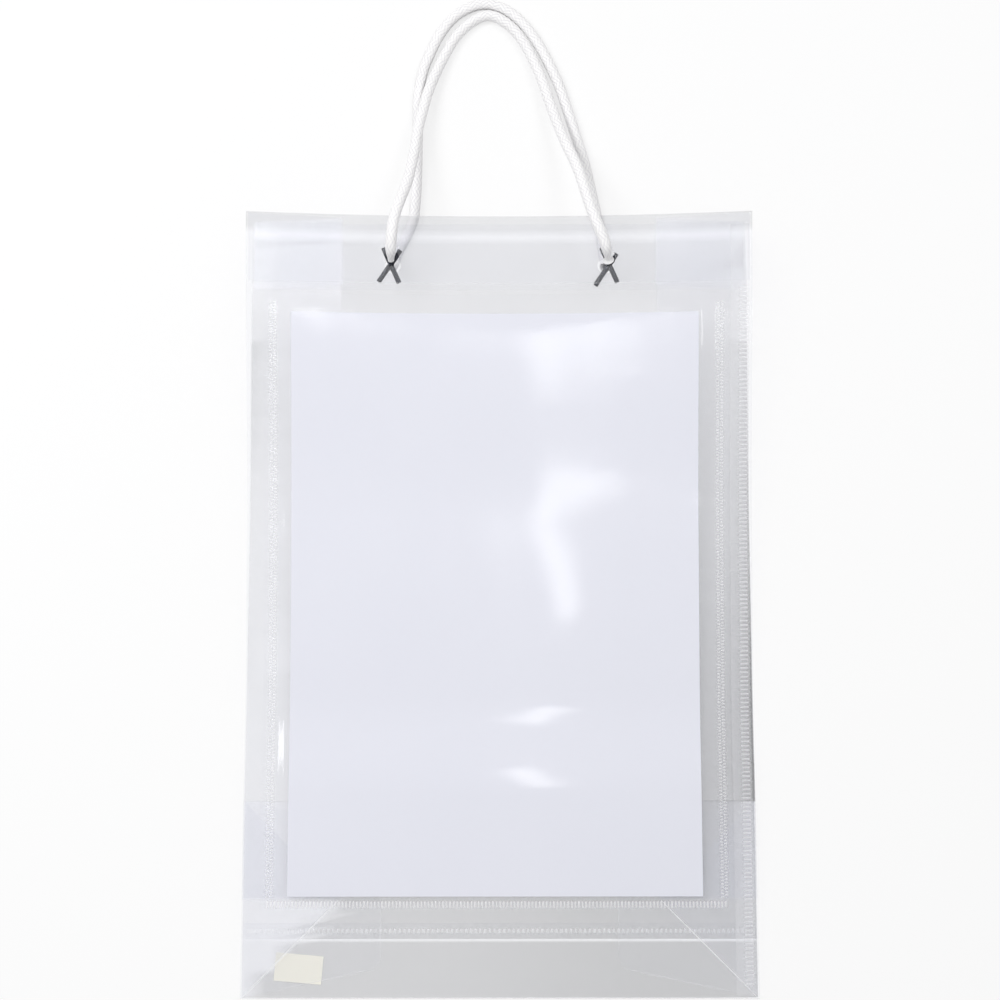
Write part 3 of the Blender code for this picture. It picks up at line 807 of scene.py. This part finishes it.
def film_material(name, low, high, transmission, roughness, ior, coat, shadow_tint, with_painted_shade=False):
    """Hazy film, seen on its outward faces only; shadow and diffuse rays pass through it, tinted."""
    skin, nodes, links, shader = new_skin(name)
    mottled(nodes, links, shader, size=24.0, low=low, high=high, grain_size=160.0, depth=0.00003)
    shader.inputs["Transmission Weight"].default_value = transmission
    shader.inputs["Roughness"].default_value = roughness
    shader.inputs["IOR"].default_value = ior
    shader.inputs["Coat Weight"].default_value = coat
    shader.inputs["Coat Roughness"].default_value = 0.08
    # The painted shade of the ground darkens the film's colour on the lowest film.
    if with_painted_shade:
        painted_shade = nodes.new("ShaderNodeAttribute")
        painted_shade.attribute_name = "painted_shade"
        darker = nodes.new("ShaderNodeMix")
        darker.data_type = "RGBA"
        darker.blend_type = "MULTIPLY"
        darker.inputs["Factor"].default_value = 1.0
        cloudy = shader.inputs["Base Color"].links[0].from_socket
        links.new(cloudy, darker.inputs["A"])
        links.new(painted_shade.outputs["Color"], darker.inputs["B"])
        links.new(darker.outputs["Result"], shader.inputs["Base Color"])
    path = nodes.new("ShaderNodeLightPath")
    facing = nodes.new("ShaderNodeNewGeometry")
    tinted = nodes.new("ShaderNodeBsdfTransparent")
    tinted.inputs["Color"].default_value = (*shadow_tint, 1)
    clear = nodes.new("ShaderNodeBsdfTransparent")
    seen = shader.outputs[0]
    for share, let_through in ((path.outputs["Is Diffuse Ray"], tinted),
                               (path.outputs["Is Shadow Ray"], tinted),
                               (facing.outputs["Backfacing"], clear)):
        step = nodes.new("ShaderNodeMixShader")
        links.new(share, step.inputs[0])
        links.new(seen, step.inputs[1])
        links.new(let_through.outputs[0], step.inputs[2])
        seen = step.outputs[0]
    links.new(seen, nodes["Material Output"].inputs["Surface"])
    return skin


def paper_material(name, low, high):
    skin, nodes, links, shader = new_skin(name)
    mottled(nodes, links, shader, size=14.0, low=low, high=high, grain_size=2600.0, depth=0.00003)
    shader.inputs["Roughness"].default_value = 0.75
    shader.inputs["Specular IOR Level"].default_value = 0.25
    return skin


def cord_material():
    skin, nodes, links, shader = new_skin("white_braid")
    heights = nodes.new("ShaderNodeAttribute")
    heights.attribute_name = "braid"
    # Grooves greyer than the crowns: painted shade in the braid's grooves.
    groove_shade_ramp = nodes.new("ShaderNodeValToRGB")
    groove_shade_ramp.color_ramp.elements[0].position = 0.15
    groove_shade_ramp.color_ramp.elements[0].color = (0.76, 0.75, 0.78, 1)
    groove_shade_ramp.color_ramp.elements[1].position = 0.85
    groove_shade_ramp.color_ramp.elements[1].color = (0.975, 0.97, 0.965, 1)
    links.new(heights.outputs["Fac"], groove_shade_ramp.inputs["Fac"])
    links.new(groove_shade_ramp.outputs["Color"], shader.inputs["Base Color"])
    grained(nodes, links, shader, grain_size=5000.0, depth=0.00006)
    shader.inputs["Roughness"].default_value = 0.7
    shader.inputs["Sheen Weight"].default_value = 0.3
    return skin


def toggle_material():
    skin, nodes, links, shader = new_skin("slate_plastic")
    mottled(nodes, links, shader, size=300.0, low=(0.010, 0.012, 0.020), high=(0.018, 0.021, 0.032),
            grain_size=2400.0, depth=0.00002)
    shader.inputs["Roughness"].default_value = 0.38
    shader.inputs["Specular IOR Level"].default_value = 0.25
    return skin


# Stage and light

def lay_floor():
    start_clean()
    bpy.ops.mesh.primitive_plane_add(size=FLOOR_SIZE, location=(0, 0, -FLOOR_DROP))
    floor = bpy.context.object
    floor.name = "floor"
    skin, nodes, links, shader = new_skin("pale_floor")
    shader.inputs["Base Color"].default_value = (0.93, 0.93, 0.935, 1)
    shader.inputs["Roughness"].default_value = 0.9
    shader.inputs["Specular IOR Level"].default_value = 0.0
    glow = nodes.new("ShaderNodeEmission")
    mixed = nodes.new("ShaderNodeMixShader")
    seen = seen_rays(nodes, links)
    share = nodes.new("ShaderNodeMath")
    share.operation = "MULTIPLY"
    share.inputs[1].default_value = FLOOR_GLOW
    links.new(seen, share.inputs[0])
    links.new(share.outputs[0], mixed.inputs[0])
    links.new(shader.outputs[0], mixed.inputs[1])
    links.new(glow.outputs[0], mixed.inputs[2])
    links.new(mixed.outputs[0], nodes["Material Output"].inputs["Surface"])
    floor.data.materials.append(skin)


def seen_rays(nodes, links):
    """1 for rays from the camera, off gloss or through glass."""
    path = nodes.new("ShaderNodeLightPath")
    total = path.outputs["Is Camera Ray"]
    for name in ("Is Glossy Ray", "Is Transmission Ray"):
        more = nodes.new("ShaderNodeMath")
        more.operation = "MAXIMUM"
        links.new(total, more.inputs[0])
        links.new(path.outputs[name], more.inputs[1])
        total = more.outputs[0]
    return total


def light_room():
    world = bpy.data.worlds.new("room")
    bpy.context.scene.world = world
    world.use_nodes = True
    nodes, links = world.node_tree.nodes, world.node_tree.links
    room = nodes["Background"]
    room.inputs["Color"].default_value = (1, 1, 1, 1)
    room.inputs["Strength"].default_value = ROOM_LEVEL
    white = nodes.new("ShaderNodeBackground")
    white.inputs["Color"].default_value = (1, 1, 1, 1)
    white.inputs["Strength"].default_value = 1.0
    mixed = nodes.new("ShaderNodeMixShader")
    links.new(seen_rays(nodes, links), mixed.inputs[0])
    links.new(room.outputs[0], mixed.inputs[1])
    links.new(white.outputs[0], mixed.inputs[2])
    links.new(mixed.outputs[0], nodes["World Output"].inputs["Surface"])
    for name, spot, size, power in (("key", KEY_PLACE, KEY_SIZE, KEY_POWER),
                                    ("side", SIDE_PLACE, SIDE_SIZE, SIDE_POWER),
                                    ("strip", STRIP_PLACE, STRIP_SIZE, STRIP_POWER)):
        data = bpy.data.lights.new(name, "AREA")
        data.shape = "RECTANGLE"
        data.size, data.size_y = size
        data.energy = power
        lamp = bpy.data.objects.new(name, data)
        lamp.location = place(*spot)
        aim = place(0, BAG_HEIGHT / 2, 0) - lamp.location
        lamp.rotation_euler = aim.to_track_quat("-Z", "Y").to_euler()
        bpy.context.scene.collection.objects.link(lamp)


bpy.context.scene.view_settings.view_transform = "Standard"
cycles = bpy.context.scene.cycles
cycles.transparent_max_bounces = 48
cycles.max_bounces = 24
cycles.diffuse_bounces = 2
cycles.glossy_bounces = 3
cycles.transmission_bounces = 24
aim_camera()
mottle_group = soft_mottle()
cord_skin = cord_material()
toggle_skin = toggle_material()
# The bag's film, with painted shade of the ground on its lowest layer.
film_skin = film_material(
    "milky_film_skin", (0.945, 0.95, 0.965), (0.968, 0.97, 0.982), transmission=0.955, roughness=0.20,
    ior=1.15, coat=0.10, shadow_tint=(0.97, 0.97, 0.98), with_painted_shade=True)
# Film of the lap, also used for the painted highlights along film edges and the hem.
lap_and_edge_highlight_skin = film_material(
    "lap_and_edge_highlight_skin", (0.94, 0.94, 0.95), (0.97, 0.97, 0.98), transmission=0.78, roughness=0.20,
    ior=1.10, coat=0.0, shadow_tint=(0.97, 0.97, 0.98))
pocket_skin = film_material(
    "clear_film_skin", (0.95, 0.95, 0.96), (0.97, 0.97, 0.98), transmission=0.98, roughness=0.04,
    ior=1.08, coat=0.8, shadow_tint=(0.98, 0.98, 0.985))
weld_skin = film_material(
    "weld_skin", (0.95, 0.95, 0.96), (0.98, 0.98, 0.985), transmission=0.55, roughness=0.3,
    ior=1.15, coat=0.1, shadow_tint=(0.95, 0.95, 0.96))
# Painted highlight along the base corners' diagonal folds.
fold_highlight_skin = film_material(
    "fold_highlight_skin", (0.98, 0.98, 0.98), (1.0, 1.0, 1.0), transmission=0.50, roughness=0.4,
    ior=1.05, coat=0.0, shadow_tint=(0.96, 0.96, 0.96))
paper_skin = paper_material("white_paper_skin", (0.80, 0.81, 0.885), (0.82, 0.83, 0.90))
label_skin = paper_material("cream_paper_skin", (0.93, 0.91, 0.80), (0.96, 0.94, 0.83))
handle("front", FRONT_ROUTE, FRONT_TOGGLE_TURN, front_height)
handle("back", BACK_ROUTE, BACK_TOGGLE_TURN, lambda x, y: back_height(y))
bag_film = own(film_copy("bag_body", "folded_film", 3), film_skin, "milky_film", "bag_body")
pocket_film = own(film_copy("pocket_window", "pocket_film", 5, on_front=True), pocket_skin, "clear_film",
                  "pocket_window")
own(film_copy("insert_sheet", "blank_sheet", 5, on_front=True), paper_skin, "plain_paper",
    "insert_sheet")
base_label()
pocket_welds(pocket_film)
side_seam(bag_film)
lap(bag_film)
creases(bag_film)
base_weld()
lay_floor()
light_room()
